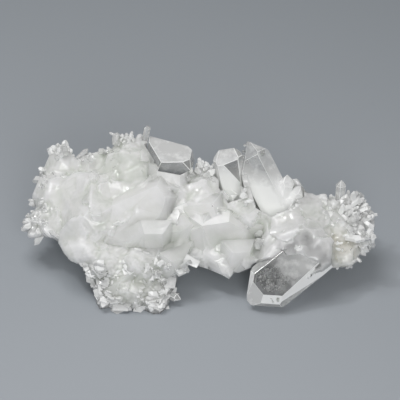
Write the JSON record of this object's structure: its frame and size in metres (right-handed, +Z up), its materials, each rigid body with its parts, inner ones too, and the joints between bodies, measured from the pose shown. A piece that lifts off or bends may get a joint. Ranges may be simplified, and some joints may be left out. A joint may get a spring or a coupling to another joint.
{
  "type": "faden quartz cluster",
  "caption": "Milky tabular quartz cluster with clear crystal points, a large clear crystal in front, a rough broken foot and fans of fine crystals at its ends.",
  "frame": {"origin": "centre of the cluster's footprint, on the surface it stands on", "axes": "+X along the thread, the cluster's long way, towards the fan of fine crystals; -Y the front, where the large clear crystal lies; +Z up"},
  "size_m": [0.0898, 0.0448, 0.0282],
  "materials": {
    "quartz": "milky to clear quartz with glassy faces"
  },
  "bodies": {
    "root": {"quartz_cluster": "quartz"}
  },
  "joints": []
}
